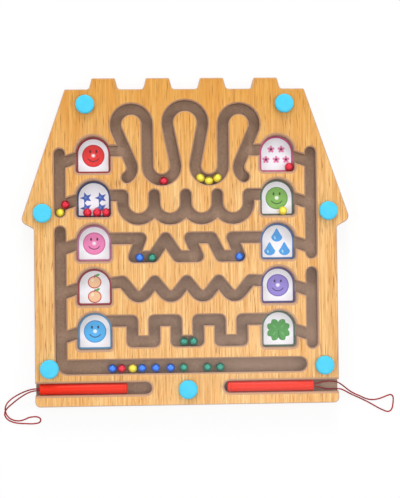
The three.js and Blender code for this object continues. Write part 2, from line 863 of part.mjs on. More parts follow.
function wandPieces() {
  const bodyEnd = wandLength - tipThickness - tipGap;
  const boreRadius = magnetDiameter / 2 + magnetClearance;
  const boreFloor = bodyEnd - tipSpigotLength - tipGap - magnetLength - magnetClearance;
  const tipFlatRadius = wandRadius - tipRound;
  const tipEdge = { x: tipFlatRadius, y: wandLength - tipRound };
  const tipArc = arcPoints(tipEdge, tipRound, 0, Math.PI / 2, 3).map((point) => point.toArray());
  const body = turned(
    [
      [0, cordHoleDepth],
      [cordHoleDiameter / 2, cordHoleDepth],
      [cordHoleDiameter / 2, 0],
      [wandRadius - wandEndRound, 0],
      [wandRadius, wandEndRound],
      [wandRadius, bodyEnd],
      [boreRadius, bodyEnd],
      [boreRadius, boreFloor],
      [0, boreFloor],
    ],
    wandSides,
  );
  const magnet = new THREE.CylinderGeometry(magnetDiameter / 2, magnetDiameter / 2, magnetLength, wandSides);
  magnet.translate(0, boreFloor + magnetClearance + magnetLength / 2, 0);
  const tip = turned(
    [
      [0, bodyEnd - tipSpigotLength],
      [tipSpigotDiameter / 2, bodyEnd - tipSpigotLength],
      [tipSpigotDiameter / 2, bodyEnd + tipGap],
      [wandRadius, bodyEnd + tipGap],
      ...tipArc,
      [0, wandLength],
    ],
    wandSides,
  );
  return { body, magnet, tip };
}

function cordTube(route) {
  const path = new THREE.CatmullRomCurve3(
    route.map(([x, y, z]) => new THREE.Vector3(x, y, z)),
    false,
    "centripetal",
  );
  const section = new THREE.Shape(
    arcPoints({ x: 0, y: 0 }, cordDiameter / 2, 0, 2 * Math.PI, cordSides).slice(0, -1),
  );
  return new THREE.ExtrudeGeometry(section, { steps: cordSteps, extrudePath: path });
}

function addWand(side, name, inset, cordRoute) {
  const pieces = wandPieces();
  for (const geometry of Object.values(pieces)) {
    geometry.rotateZ((side * Math.PI) / 2);
    geometry.translate(side * (wallHalfWidth - inset), slotY, wandAxisZ);
  }
  addPiece(`${name}_wand_rod`, pieces.body, material.wand());
  addPiece(`${name}_wand_magnet`, pieces.magnet, material.magnet());
  addPiece(`${name}_wand_tip`, pieces.tip, material.wand());
  addPiece(`${name}_wand_cord`, cordTube(cordRoute), material.cord());
}

addMazeBoard();
addClearCover();
addRivets();
addPictureTiles();
addBalls();
addWand(-1, "left", leftWandInset, leftCordRoute);
addWand(1, "right", rightWandInset, rightCordRoute);

export default group;
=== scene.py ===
# %% [markdown]
# Magnetic maze board
#
# This lesson dresses a finished mechanical model for a photograph. The model is a castle-shaped wooden
# board with routed lanes, a clear cover held by blue rivets, painted steel balls, and two red magnet wands
# on cord loops. The mechanical solids are loaded as a fixed frame that never changes. Each finished piece
# is made over them, rides on the same moving body, and takes the place of the plain solid.

import math

import bmesh
import bpy
from mathutils import Matrix, Quaternion, Vector


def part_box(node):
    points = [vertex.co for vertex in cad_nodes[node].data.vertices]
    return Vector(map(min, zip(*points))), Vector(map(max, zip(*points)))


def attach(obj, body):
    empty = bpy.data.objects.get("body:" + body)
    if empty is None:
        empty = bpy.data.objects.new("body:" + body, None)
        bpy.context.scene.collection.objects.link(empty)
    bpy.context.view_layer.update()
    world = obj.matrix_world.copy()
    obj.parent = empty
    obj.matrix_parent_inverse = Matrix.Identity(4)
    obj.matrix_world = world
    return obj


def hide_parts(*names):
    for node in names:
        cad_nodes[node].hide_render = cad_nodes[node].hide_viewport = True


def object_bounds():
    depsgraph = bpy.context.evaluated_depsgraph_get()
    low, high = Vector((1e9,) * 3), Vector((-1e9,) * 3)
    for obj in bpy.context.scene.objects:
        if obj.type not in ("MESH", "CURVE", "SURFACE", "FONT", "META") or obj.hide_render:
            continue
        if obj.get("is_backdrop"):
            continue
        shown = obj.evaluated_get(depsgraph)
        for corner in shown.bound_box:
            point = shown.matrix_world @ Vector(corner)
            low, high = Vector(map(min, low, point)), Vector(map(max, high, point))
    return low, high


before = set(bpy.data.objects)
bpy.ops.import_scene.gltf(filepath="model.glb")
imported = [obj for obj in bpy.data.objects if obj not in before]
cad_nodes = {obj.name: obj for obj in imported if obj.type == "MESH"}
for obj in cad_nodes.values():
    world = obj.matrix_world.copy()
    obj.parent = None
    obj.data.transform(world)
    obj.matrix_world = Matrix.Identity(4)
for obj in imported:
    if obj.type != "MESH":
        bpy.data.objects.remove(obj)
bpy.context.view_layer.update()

MM = 0.001

# %% [markdown]
# The camera
#
# The board was photographed from almost straight above, a little to its lower left, so its walls show only
# slightly. A long lens at about 1.1 m gives that flat look. The place and the three small tilts were
# found by matching the board's corners, rivets and wells with the photograph.

# %% Camera
CAMERA_PLACE = (-39.3 * MM, -25.9 * MM, 1110.6 * MM)
# The tilts are in degrees, the lens and its sensor in millimetres.
CAMERA_TILT = (0.994, -2.691, -0.687)
CAMERA_LENS = 86.02
SENSOR_LONG_SIDE = 36

camera_data = bpy.data.cameras.new("camera")
camera_data.lens = CAMERA_LENS
camera_data.sensor_width = SENSOR_LONG_SIDE
camera_data.dof.use_dof = False
camera = bpy.data.objects.new("camera", camera_data)
camera.location = CAMERA_PLACE
camera.rotation_euler = [math.radians(tilt) for tilt in CAMERA_TILT]
bpy.context.scene.collection.objects.link(camera)
bpy.context.scene.camera = camera

print("The camera stands", round(CAMERA_PLACE[2], 3), "m over the table")

# %% [markdown]
# Colours and shader nodes
#
# Colours are written as the sRGB codes that a picture editor shows, and one function turns them into the
# linear values that shaders use. A second small function adds a shader node and sets or links its inputs,
# so that each material below reads as a short list of what the surface does.

# %% Shader helpers
def colour(code):
    """The linear colour of an sRGB code such as EEBB70."""
    parts = [int(code[i:i + 2], 16) / 255 for i in (0, 2, 4)]
    return [p / 12.92 if p <= 0.04045 else ((p + 0.055) / 1.055) ** 2.4 for p in parts] + [1]


def add_node(tree, kind, inputs=None, **settings):
    """Adds a node. Each input is a plain value or the output of another node."""
    node = tree.nodes.new(kind)
    for name, value in settings.items():
        setattr(node, name, value)
    for name, value in (inputs or {}).items():
        if isinstance(value, bpy.types.NodeSocket):
            tree.links.new(value, node.inputs[name])
        else:
            node.inputs[name].default_value = value
    return node


def new_material(name, **values):
    """A node material with one Principled shader, and the plain values given for it."""
    material = bpy.data.materials.new(name)
    material.use_nodes = True
    tree = material.node_tree
    shader = tree.nodes["Principled BSDF"]
    for key, value in values.items():
        shader.inputs[key.replace("_", " ").title().replace("Ior", "IOR")].default_value = value
    return material, tree, shader


def speckle(tree, size, detail=2.0):
    """Noise whose blotches have the given size along X, Y and Z, in metres."""
    place = add_node(tree, "ShaderNodeTexCoord").outputs["Object"]
    scale = [1 / length for length in size]
    stretched = add_node(tree, "ShaderNodeMapping", {"Vector": place, "Scale": scale}).outputs["Vector"]
    noise = add_node(tree, "ShaderNodeTexNoise", {"Vector": stretched, "Scale": 1.0, "Detail": detail})
    return noise.outputs["Fac"]


def blend(tree, factor, first, second):
    """A mix of two colours."""
    mix = add_node(tree, "ShaderNodeMix", {0: factor, 6: first, 7: second}, data_type="RGBA")
    return mix.outputs[2]


def contrast(tree, factor, low, high):
    """Stretches the part of a pattern between low and high over the whole range."""
    spread = {"Value": factor, "From Min": low, "From Max": high}
    return add_node(tree, "ShaderNodeMapRange", spread).outputs["Result"]


def roughen(tree, shader, height, depth):
    """Bumps a surface by a pattern, depth in metres from its lowest to its highest."""
    bump = add_node(tree, "ShaderNodeBump", {"Height": height, "Distance": depth, "Strength": 1.0})
    tree.links.new(bump.outputs["Normal"], shader.inputs["Normal"])


print("Shader helpers are ready")

# %% [markdown]
# Building pieces
#
# A finished piece starts as a bmesh, where operators such as spin, extrude, inset and bevel shape it. One
# function then closes it: it welds doubled points, turns the normals out, shades everything smooth but the
# sharp edges, and lets the piece ride on its body in place of the plain solids that it covers.

# %% Piece helpers
WELD = 0.0005 * MM
CREASE = math.radians(32)


def finish_piece(name, shape, materials, body, nodes):
    """Turns a bmesh into an object that rides on a body and replaces the named nodes."""
    bmesh.ops.remove_doubles(shape, verts=shape.verts, dist=WELD)
    bmesh.ops.recalc_face_normals(shape, faces=shape.faces)
    for edge in shape.edges:
        edge.smooth = edge.calc_face_angle(0) < CREASE
    for face in shape.faces:
        face.smooth = True
    mesh = bpy.data.meshes.new(name)
    shape.to_mesh(mesh)
    shape.free()
    for material in materials:
        mesh.materials.append(material)
    piece = bpy.data.objects.new(name, mesh)
    bpy.context.scene.collection.objects.link(piece)
    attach(piece, body)
    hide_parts(*nodes)
    return piece


def merged_copy(node):
    """A bmesh of a frame node, with the points that its faces share merged."""
    shape = bmesh.new()
    shape.from_mesh(cad_nodes[node].data)
    bmesh.ops.remove_doubles(shape, verts=shape.verts, dist=WELD)
    return shape


def turn(profile, steps):
    """Spins a profile of radius and height pairs about the Z axis."""
    shape = bmesh.new()
    points = [shape.verts.new((radius, 0, height)) for radius, height in profile]
    edges = [shape.edges.new(pair) for pair in zip(points, points[1:])]
    bmesh.ops.spin(
        shape, geom=points + edges, cent=(0, 0, 0), axis=(0, 0, 1), angle=2 * math.pi,
        steps=steps, use_merge=True, use_duplicate=False,
    )
    return shape


print("Piece helpers are ready")

# %% [markdown]
# Cord loops
#
# Each wand has a loop of thin red twisted cord, both ends glued into a hole in the wand's outer end. The
# left loop falls off the board's side, lies on the table in a long narrow bight and comes back. The right
# one first lies along its slot. A three-lobed section is extruded step by step along the path and turned a
# little each time, which gives the ridges of a real three-ply cord.

# %% Cord routes
LEFT_CORD_ROUTE = [
    (-129.9, -134.15, 8.7), (-136.1, -134.15, 8.7), (-143, -134.7, 8.4), (-148.5, -136.2, 7),
    (-154, -138.5, 5.3), (-159.5, -141.5, 3.7), (-164.3, -145, 2.7), (-167.4, -148.6, 2.4),
    (-168.7, -152, 2.4), (-168.6, -155, 2.4), (-167.8, -157.8, 2), (-166.4, -160.2, 1.3),
    (-164.3, -162.2, 0.8), (-161, -163.7, 0.7), (-156, -164.3, 0.7), (-151, -163.1, 0.7),
    (-147.5, -161.6, 0.7), (-143.5, -160.9, 0.7), (-139.8, -161, 0.7), (-137.2, -162.2, 0.7),
    (-136.4, -164.2, 0.7), (-137.6, -166.1, 0.7), (-140.6, -167, 0.7), (-144.5, -167.3, 0.7),
    (-149, -167.1, 0.7), (-155.5, -166.7, 0.7), (-161.5, -165.6, 0.7), (-166.5, -163.1, 0.7),
    (-169.2, -159.4, 0.7), (-169.3, -156.6, 0.7), (-168.2, -154, 0.7), (-166.2, -151.6, 0.8),
    (-163, -148.9, 1.3), (-159, -145.6, 2.6), (-154, -142, 4.5), (-148.5, -138.7, 6.7),
    (-143, -136.6, 8.3), (-136.1, -135.85, 8.7), (-129.9, -135.85, 8.7),
]
RIGHT_CORD_ROUTE = [
    (110.4, -134.15, 8.7), (116.5, -134.15, 8.7), (121.5, -133.2, 7.5), (127.5, -132.3, 4.9),
    (133.5, -132.1, 4.2), (139.5, -132.9, 4.2), (143.5, -135.2, 4), (147.5, -138.3, 2.6),
    (151.5, -141.4, 1.3), (156, -144.1, 0.7), (161.7, -146.7, 0.7), (167.5, -149.3, 0.7),
    (173.5, -150.3, 0.7), (179, -149.6, 0.7), (184.5, -147.8, 0.7), (188.2, -146.4, 0.7),
    (190.9, -146, 0.7), (192.7, -147.7, 0.7), (193, -150.6, 0.7), (192.6, -154.8, 0.7),
    (191.6, -158.9, 0.7), (189.6, -161.2, 0.7), (186.7, -161.5, 0.7), (183, -160.1, 0.7),
    (178.4, -157.8, 0.7), (173.6, -155, 0.7), (169, -152.4, 0.7), (164.5, -150.1, 0.7),
    (159.5, -147.7, 0.7), (154.5, -145.4, 0.7), (150.5, -143.3, 1.1), (146.5, -141.1, 2.6),
    (143, -139.6, 3.9), (139.5, -139.1, 4.2), (133.5, -139.2, 4.2), (127.5, -138.7, 4.8),
    (121.5, -137, 7.3), (116.5, -135.85, 8.7), (110.4, -135.85, 8.7),
]
PATH_STEPS = 12


def smooth_path(name, route):
    """Points along a smooth curve through a route given in millimetres."""
    curve = bpy.data.curves.new(name, "CURVE")
    curve.dimensions = "3D"
    curve.resolution_u = PATH_STEPS
    spline = curve.splines.new("BEZIER")
    spline.bezier_points.add(len(route) - 1)
    for knot, place in zip(spline.bezier_points, route):
        knot.co = Vector(place) * MM
        knot.handle_left_type = "AUTO"
        knot.handle_right_type = "AUTO"
    guide = bpy.data.objects.new(name, curve)
    bpy.context.scene.collection.objects.link(guide)
    bpy.context.view_layer.update()
    points = [vertex.co.copy() for vertex in guide.to_mesh().vertices]
    guide.to_mesh_clear()
    bpy.data.objects.remove(guide)
    return points


left_path = smooth_path("left_cord_path", LEFT_CORD_ROUTE)
right_path = smooth_path("right_cord_path", RIGHT_CORD_ROUTE)

print("The cord paths have", len(left_path), "and", len(right_path), "points")

# %% Twisted cord
CORD_DIAMETER = 1.3 * MM
CORD_PLIES = 3
CORD_SECTION_POINTS = 15
# The plies stand out, and the hollows between them lie in, by this share of the cord's radius.
PLY_DEPTH = 0.1
# A real turn of such a cord is nearer 2.5 mm, but drawn longer it can still be seen.
CORD_TURN = 4.0 * MM


def twisted_tube(points):
    """A cord of twisted plies along the points."""
    shape = bmesh.new()
    section = bmesh.ops.create_circle(
        shape, cap_ends=True, segments=CORD_SECTION_POINTS, radius=CORD_DIAMETER / 2,
    )["verts"]
    for point in section:
        angle = math.atan2(point.co.y, point.co.x)
        point.co *= 1 + PLY_DEPTH * math.cos(CORD_PLIES * angle)
    heading = (points[1] - points[0]).normalized()
    stand = Vector((0, 0, 1)).rotation_difference(heading).to_matrix().to_4x4()
    bmesh.ops.transform(shape, matrix=Matrix.Translation(points[0]) @ stand, verts=section)
    end = section[0].link_faces[0]
    keep_first = True
    for here, there in zip(points, points[1:]):
        step = there - here
        bend = heading.rotation_difference(step.normalized())
        heading = step.normalized()
        twist = Quaternion(heading, 2 * math.pi * step.length / CORD_TURN)
        grown = bmesh.ops.extrude_face_region(shape, geom=[end], use_keep_orig=keep_first)["geom"]
        keep_first = False
        ring = [part for part in grown if isinstance(part, bmesh.types.BMVert)]
        end = [part for part in grown if isinstance(part, bmesh.types.BMFace)][0]
        place = Matrix.Translation(there) @ (twist @ bend).to_matrix().to_4x4() @ Matrix.Translation(-here)
        bmesh.ops.transform(shape, matrix=place, verts=ring)
    return shape


# Twisted cotton: matt red, with fibres that make it soft and slightly uneven.
red_cotton, tree, shader = new_material("red_cotton_cord", roughness=0.85, specular_ior_level=0.25)
fibre = speckle(tree, (0.25 * MM, 0.25 * MM, 0.25 * MM))
tree.links.new(blend(tree, fibre, colour("960F1A"), colour("C2242F")), shader.inputs["Base Color"])
roughen(tree, shader, fibre, 0.04 * MM)

for side, path in (("left", left_path), ("right", right_path)):
    cord = finish_piece(
        f"{side}_cord_loop", twisted_tube(path), [red_cotton], f"{side}_wand",
        [f"{side}_wand_cord"],
    )

# %% [markdown]
# The routed board
#
# The board is fibreboard with a thin sheet of straight-grained wood on its face. A router cuts the lanes
# and wells through the sheet into the core, and a rounded bit eases every edge, which leaves a pale tan
# band between the wood and the lane. Below that band the core is grey-brown: its own colour, darkened
# further as painted shade in the lanes and wells. The mechanical solid already has all of these faces, so a
# merged copy of it is sorted by the height of each face into these finishes.

# %% Wood and fibreboard finishes
BOARD_THICKNESS = 14 * MM
LANE_FLOOR = 3.5 * MM
# Faces below this height take the darker routed core, whose colour is partly painted shade in the lanes and
# wells.
RIM_BOTTOM = 11.6 * MM
# A face this close to a level counts as lying at it.
LEVEL_SLACK = 0.1 * MM
# A face whose normal rises by more than this lies flat.
FLAT = 0.99
# A painted sheen pales the wood low on the board and fades out between these two places up the board.
PAINTED_SHEEN_FADES_FROM = 50 * MM
PAINTED_SHEEN_GONE_BY = 135 * MM

# Varnished wood sheet: honey yellow with long fine streaks and a satin shine, paled towards the bottom by a
# painted sheen and deeper towards the roof.
veneer, tree, shader = new_material("varnished_wood_sheet", roughness=0.38, specular_ior_level=0.15)
bands = contrast(tree, speckle(tree, (9 * MM, 210 * MM, 20 * MM), 2), 0.3, 0.7)
grain = contrast(tree, speckle(tree, (1.1 * MM, 44 * MM, 20 * MM), 3), 0.32, 0.74)
pores = contrast(tree, speckle(tree, (0.8 * MM, 15 * MM, 20 * MM), 2), 0.58, 0.76)
painted_sheen_tone = blend(tree, bands, colour("FFD796"), colour("F7C077"))
deep = blend(tree, bands, colour("F1BB66"), colour("E9A54A"))
place = add_node(tree, "ShaderNodeTexCoord").outputs["Object"]
up_the_board = add_node(tree, "ShaderNodeSeparateXYZ", {"Vector": place}).outputs["Y"]
# The lower wood takes the paler tone as painted sheen, which fades out up the board.
wood_with_painted_sheen = blend(tree, contrast(tree, up_the_board, PAINTED_SHEEN_FADES_FROM, PAINTED_SHEEN_GONE_BY), painted_sheen_tone, deep)
streaked = blend(tree, grain, wood_with_painted_sheen, colour("DA9442"))
pored = blend(tree, pores, streaked, colour("A0622A"))
tree.links.new(pored, shader.inputs["Base Color"])
roughen(tree, shader, grain, 0.006 * MM)

# Sanded core at the eased edges: pale pinkish tan, matt.
sanded_core, tree, shader = new_material("sanded_fibreboard_edge", roughness=0.7, specular_ior_level=0.3)
dust = speckle(tree, (0.8 * MM, 0.8 * MM, 0.8 * MM), 3)
tree.links.new(blend(tree, dust, colour("BF9172"), colour("CFA382")), shader.inputs["Base Color"])

# Routed core: grey-brown felted fibres, matt, with the faint swirl of the cutter; the grey-brown is the
# core's own colour darkened further as painted shade deep in the lanes and wells.
routed_core_with_painted_shade, tree, shader = new_material("routed_fibreboard_with_painted_shade", roughness=0.85, specular_ior_level=0.2)
felt = contrast(tree, speckle(tree, (1.4 * MM, 1.4 * MM, 1.4 * MM), 4), 0.3, 0.7)
tree.links.new(blend(tree, felt, colour("9B7E69"), colour("B1937D")), shader.inputs["Base Color"])
roughen(tree, shader, felt, 0.03 * MM)

# Varnished outer edge and back: denser brown core under a thin satin coat.
varnished_edge, tree, shader = new_material("varnished_fibreboard", roughness=0.5, specular_ior_level=0.35)
layers = contrast(tree, speckle(tree, (3 * MM, 3 * MM, 0.9 * MM), 3), 0.3, 0.7)
tree.links.new(blend(tree, layers, colour("B98B5E"), colour("CDA072")), shader.inputs["Base Color"])
roughen(tree, shader, layers, 0.02 * MM)

print("The board has four finishes")

# %% Routed board
VENEER, RIM, CORE, EDGE = range(4)


def board_finish(face):
    """Which finish a face of the board has, from its height and the way it faces."""
    height = face.calc_center_median().z
    lowest = min(vertex.co.z for vertex in face.verts)
    if face.normal.z > FLAT and height > BOARD_THICKNESS - LEVEL_SLACK:
        return VENEER
    if lowest < LANE_FLOOR - LEVEL_SLACK:
        return EDGE
    if height > RIM_BOTTOM:
        return RIM
    return CORE


board_shape = merged_copy("maze_board")
bmesh.ops.recalc_face_normals(board_shape, faces=board_shape.faces)
for face in board_shape.faces:
    face.material_index = board_finish(face)
lane_faces = sum(face.material_index == CORE for face in board_shape.faces)
board = finish_piece(
    "routed_board", board_shape, [veneer, sanded_core, routed_core_with_painted_shade, varnished_edge], "board",
    ["maze_board"],
)

print("The board has", len(board.data.polygons), "faces,", lane_faces, "of them in the lanes and wells")

# %% [markdown]
# The clear cover
#
# A 2 mm sheet of polished acrylic closes the lanes. From above it is almost invisible: a faint milky veil
# that is a painted reflection of a lamp, strongest near its lower edge, and a brighter line where the sawn
# edge gathers light. Its edge is eased by a narrow bevel, and the sheet and its edge are two finishes, both
# a plain low opacity.

# %% Clear cover
COVER_EASE = 0.25 * MM
EASE_STEPS = 2
SHARP_CORNER = math.radians(60)
PAINTED_REFLECTION_MIDDLE = (60 * MM, -115 * MM, 16 * MM)
PAINTED_REFLECTION_REACH = 210 * MM

# Polished acrylic: clear, with a painted reflection of a lamp as a milky veil, white near its lower middle
# and dark brown further off.
clear_acrylic, tree, shader = new_material("clear_acrylic", roughness=0.08, alpha=0.025, ior=1.49)
place = add_node(tree, "ShaderNodeTexCoord").outputs["Object"]
apart = {0: place, 1: PAINTED_REFLECTION_MIDDLE}
distance = add_node(tree, "ShaderNodeVectorMath", apart, operation="DISTANCE").outputs["Value"]
# The painted reflection is whitest at its middle and fades out over its reach.
painted_reflection = contrast(tree, distance, PAINTED_REFLECTION_REACH, 0)
tree.links.new(blend(tree, painted_reflection, colour("4A3A2C"), colour("FFFFFF")), shader.inputs["Base Color"])

# Sawn acrylic edge: frosted by the saw, so it shows as a pale line.
acrylic_edge, tree, shader = new_material("sawn_acrylic_edge", roughness=0.35, alpha=0.2, ior=1.49)
saw = speckle(tree, (0.6 * MM, 0.6 * MM, 6 * MM), 2)
tree.links.new(blend(tree, saw, colour("DDE6E8"), colour("F8FBFB")), shader.inputs["Base Color"])

cover_shape = merged_copy("clear_cover")
bmesh.ops.recalc_face_normals(cover_shape, faces=cover_shape.faces)
corners = [edge for edge in cover_shape.edges if edge.calc_face_angle(0) > SHARP_CORNER]
bmesh.ops.bevel(
    cover_shape, geom=corners, offset=COVER_EASE, segments=EASE_STEPS, profile=0.5, affect="EDGES",
    material=-1,
)
for face in cover_shape.faces:
    face.material_index = 0 if abs(face.normal.z) > FLAT else 1
cover = finish_piece(
    "acrylic_cover", cover_shape, [clear_acrylic, acrylic_edge], "board", ["clear_cover"],
)

print("The cover has", len(cover.data.polygons), "faces")

# %% [markdown]
# Rivets
#
# Seven pale blue buttons hold the cover. Each is moulded plastic: a low dome with a soft shoulder and a
# hollow shank that takes a pin from behind. Both halves are turned: a half profile is drawn once and spun
# about its axis.

# %% Profile helpers
TURN_STEPS = 56
ARC_STEPS = 8


def arc(centre, radius, start, end, steps):
    """Points of an arc, centre and radius in radius and height, angles in degrees."""
    angles = [math.radians(start + (end - start) * i / steps) for i in range(steps + 1)]
    return [(centre[0] + radius * math.cos(a), centre[1] + radius * math.sin(a)) for a in angles]


def dome(radius, low, high, steps):
    """A shallow dome from its edge to its top on the axis, as the arc of one big circle."""
    rise = high - low
    ball = (radius ** 2 + rise ** 2) / (2 * rise)
    edge = math.degrees(math.asin(radius / ball))
    return arc((0, high - ball), ball, 90 - edge, 90, steps)


print("Profile helpers are ready")

# %% Rivets
RIVET_PLACES = [
    (-92, 126.6), (92, 126.6), (-131.8, 26.8), (131.8, 26.8), (-126.7, -116), (126.7, -116), (0, -136.5),
]
CAP_RADIUS = 8.7 * MM
CAP_BOTTOM = 16.2 * MM
CAP_HEIGHT = 3 * MM
CAP_SHOULDER = 1.9 * MM
CAP_CROWN = 0.35 * MM
SHANK_RADIUS = 4 * MM
SHANK_END = 4 * MM
BORE_RADIUS = 2.2 * MM
BORE_TOP = 11.5 * MM
PIN_RADIUS = 2 * MM
PIN_TOP = 11.2 * MM
HEAD_RADIUS = 7 * MM
HEAD_BOTTOM = 0.2 * MM
HEAD_TOP = 2.2 * MM
HEAD_ROUND = 0.5 * MM
# The shoulder ends just short of a quarter turn, where the crown's slope takes over.
SHOULDER_ANGLE = 88

# Moulded blue plastic: glossy sky blue, with the light softened by a fine moulded skin.
blue_plastic, tree, shader = new_material("blue_moulded_plastic", roughness=0.36, specular_ior_level=0.15)
flow = speckle(tree, (5 * MM, 5 * MM, 5 * MM), 2)
tree.links.new(blend(tree, flow, colour("46C6EA"), colour("58D4F4")), shader.inputs["Base Color"])
skin = speckle(tree, (0.5 * MM, 0.5 * MM, 0.5 * MM), 2)
roughen(tree, shader, skin, 0.006 * MM)

crown_radius = CAP_RADIUS - CAP_SHOULDER
dome_edge = CAP_BOTTOM + CAP_HEIGHT - CAP_CROWN
cap_profile = [
    (0, BORE_TOP),
    (BORE_RADIUS, BORE_TOP),
    (BORE_RADIUS, SHANK_END),
    (SHANK_RADIUS, SHANK_END),
    (SHANK_RADIUS, CAP_BOTTOM),
    (CAP_RADIUS, CAP_BOTTOM),
    *arc((crown_radius, dome_edge - CAP_SHOULDER), CAP_SHOULDER, 0, SHOULDER_ANGLE, ARC_STEPS),
    *dome(crown_radius, dome_edge, CAP_BOTTOM + CAP_HEIGHT, ARC_STEPS)[1:],
]
back_profile = [
    (0, HEAD_BOTTOM),
    *arc((HEAD_RADIUS - HEAD_ROUND, HEAD_BOTTOM + HEAD_ROUND), HEAD_ROUND, -90, 0, ARC_STEPS),
    (HEAD_RADIUS, HEAD_TOP),
    (PIN_RADIUS, HEAD_TOP),
    (PIN_RADIUS, PIN_TOP),
    (0, PIN_TOP),
]
for number, (x, y) in enumerate(RIVET_PLACES, 1):
    for half, profile in (("cap", cap_profile), ("back", back_profile)):
        shape = turn(profile, TURN_STEPS)
        bmesh.ops.translate(shape, vec=(x * MM, y * MM, 0), verts=shape.verts)
        finish_piece(
            f"blue_{half}_{number}", shape, [blue_plastic], "board",
            [f"rivet_{half}_{number}"],
        )

print("Turned", len(RIVET_PLACES), "rivets of two halves each")

# %% [markdown]
# Picture tiles
#
# A printed card lies on the floor of each well. Five cards carry a round smiling face in a colour, and the
# others carry one to five small motifs to count. Each card is an arch: half a disc whose straight side is
# extruded down and whose corners are bevelled. The picture is laid on as thin patches of ink, each a circle
# reshaped into what is needed.

# %% Card and ink
WELL_X = 85.2 * MM
TOP_WELL_BOTTOM = 63.7 * MM
WELL_PITCH = 40.7 * MM
WELL_ROWS = 5
CARD_HALF_WIDTH = 15.6 * MM
CARD_STRAIGHT = 17.7 * MM
CARD_CORNER = 2.7 * MM
CORNER_STEPS = 6
CARD_BOTTOM = 3.6 * MM
CARD_THICKNESS = 0.5 * MM
CARD_LIFT = 0.3 * MM
BORDER = 1.7 * MM
INK = 0.04 * MM
# How far the mottle of the print draws its colour towards grey.
MOTTLE = 0.04
ARCH_POINTS = 64
STROKE_STEPS = 16

inks = {}


def ink(code):
    """Offset ink of one colour on card: satin, with the faint mottle of the print."""
    if code not in inks:
        material, tree, shader = new_material(f"ink_{code}", roughness=0.45, specular_ior_level=0.35)
        base = colour(code)
        greyer = [(1 - MOTTLE) * part + MOTTLE / 2 for part in base[:3]] + [1]
        mottle = speckle(tree, (0.7 * MM, 0.7 * MM, 0.7 * MM), 3)
        tree.links.new(blend(tree, mottle, base, greyer), shader.inputs["Base Color"])
        inks[code] = material
    return inks[code]


print("The cards are", round(2 * CARD_HALF_WIDTH / MM, 1), "mm wide")

